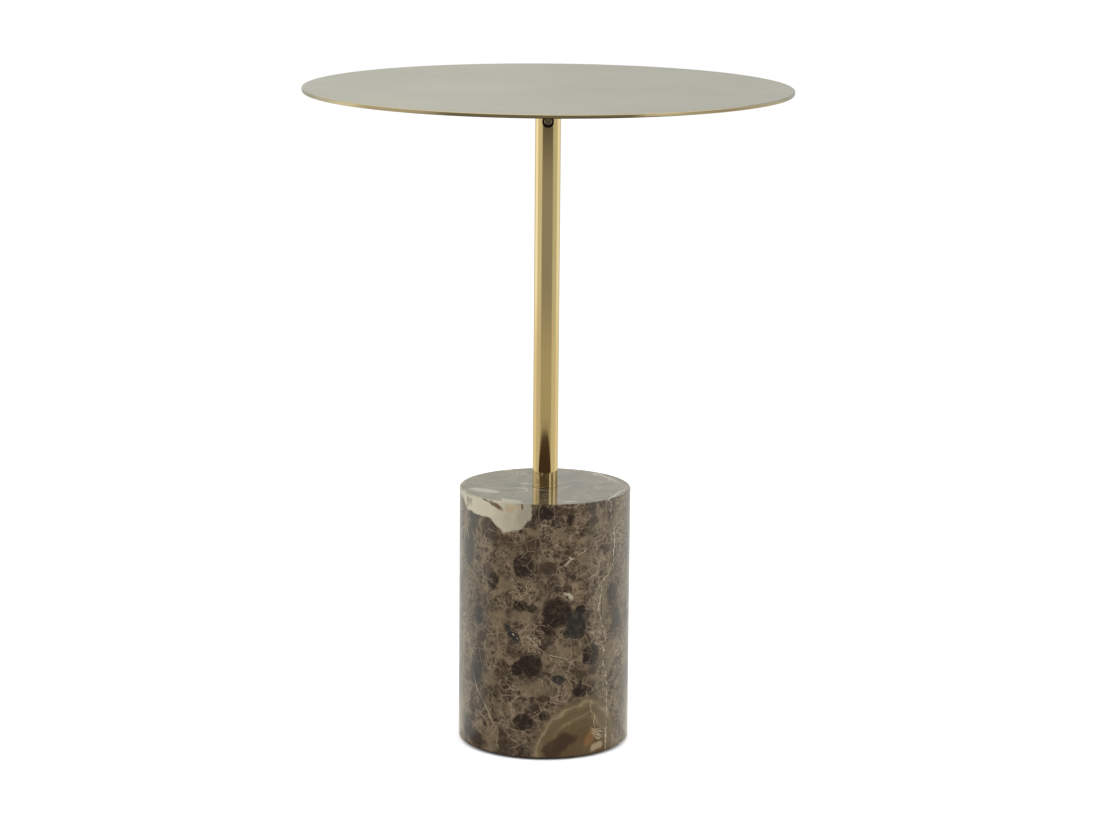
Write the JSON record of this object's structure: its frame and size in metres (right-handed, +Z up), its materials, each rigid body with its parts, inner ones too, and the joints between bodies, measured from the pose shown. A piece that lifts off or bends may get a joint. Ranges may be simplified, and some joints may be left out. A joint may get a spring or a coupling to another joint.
{
  "type": "wine table",
  "caption": "Round wine table: a thin satin brass top on a polished brass stem in a heavy dark marble cylinder, with a lift-off, turning top held by a clamping screw.",
  "frame": {"origin": "on the floor, under the middle of the base pad", "axes": "+Z up along the stem, -Y towards the clamping screw, which is the side the picture shows"},
  "size_m": [0.3799, 0.38, 0.52],
  "materials": {
    "satin_brass": "fine satin brush, clear lacquer",
    "polished_brass": "mirror polish",
    "brown_marble": "polished",
    "zinc_steel": "bright zinc plate",
    "black_steel": "black oxide",
    "soft_brass": "as turned",
    "nylon": "natural",
    "rubber": "matt",
    "felt": "pressed felt"
  },
  "bodies": {
    "base": {"marble_base": "brown_marble", "base_pad": "felt", "tie_rod": "zinc_steel", "tie_nut": "zinc_steel", "spring_washer": "zinc_steel", "clamp_plate": "zinc_steel", "clamp_gasket": "rubber", "stem_gasket": "nylon", "stem_foot_plug": "zinc_steel", "stem_tube": "polished_brass", "stem_head_socket": "black_steel"},
    "thrust_washer": {"thrust_washer": "nylon"},
    "top": {"table_top": "satin_brass", "top_studs": "zinc_steel", "mounting_plate": "black_steel", "plate_washers": "zinc_steel", "plate_nuts": "zinc_steel", "top_spigot": "zinc_steel"},
    "set_screw_pad": {"set_screw_pad": "soft_brass"},
    "set_screw": {"set_screw": "black_steel"}
  },
  "joints": [
    {"name": "top_lift", "type": "slide", "parent": "base", "child": "thrust_washer", "axis": [0, 0, 1], "range_m": [0, 0.039]},
    {"name": "top_turn", "type": "hinge", "parent": "thrust_washer", "child": "top", "pos_m": [0, 0, 0.513], "axis": [0, 0, 1], "continuous": true},
    {"name": "set_screw_travel", "type": "slide", "parent": "base", "child": "set_screw_pad", "axis": [0, -1, 0], "range_m": [0, 0.0015]},
    {"name": "set_screw_turn", "type": "hinge", "parent": "set_screw_pad", "child": "set_screw", "pos_m": [0, -0.0055, 0.4945], "axis": [0, -1, 0], "range_deg": [0, 540]}
  ],
  "couplings": [
    {"joint": "set_screw_turn", "follows": "set_screw_travel", "rad_per_m": 6283.2}
  ]
}
